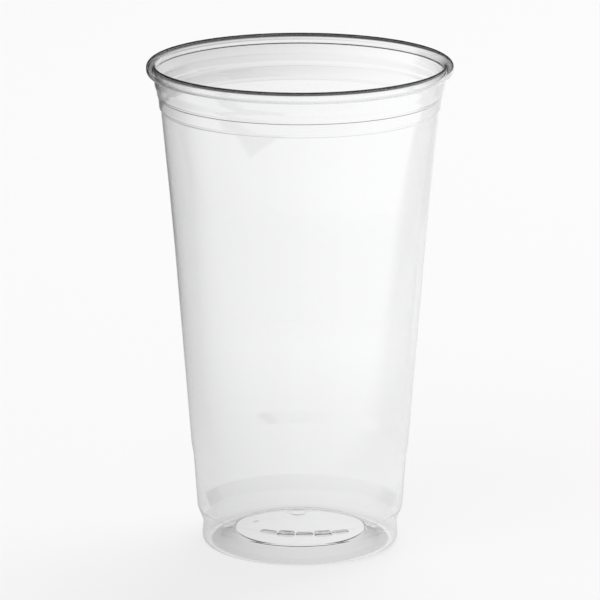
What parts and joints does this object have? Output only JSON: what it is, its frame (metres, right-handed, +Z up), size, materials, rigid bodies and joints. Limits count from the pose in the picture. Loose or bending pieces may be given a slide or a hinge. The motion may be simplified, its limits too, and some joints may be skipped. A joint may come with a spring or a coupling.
{
  "type": "plastic disposable cup",
  "caption": "Tall clear thin-walled plastic cup for cold drinks, tapered, with a rolled rim for a snap lid, stacking bands and a rounded foot.",
  "frame": {"origin": "centre of the circle that the foot stands on, on the table", "axes": "+Z up along the cup's axis, out of the mouth; X and Y are equal, as the cup is round"},
  "size_m": [0.098, 0.098, 0.1585],
  "materials": {
    "clear_plastic": "clear, glossy thermoformed sheet"
  },
  "bodies": {
    "root": {"cup": "clear_plastic"}
  },
  "joints": []
}
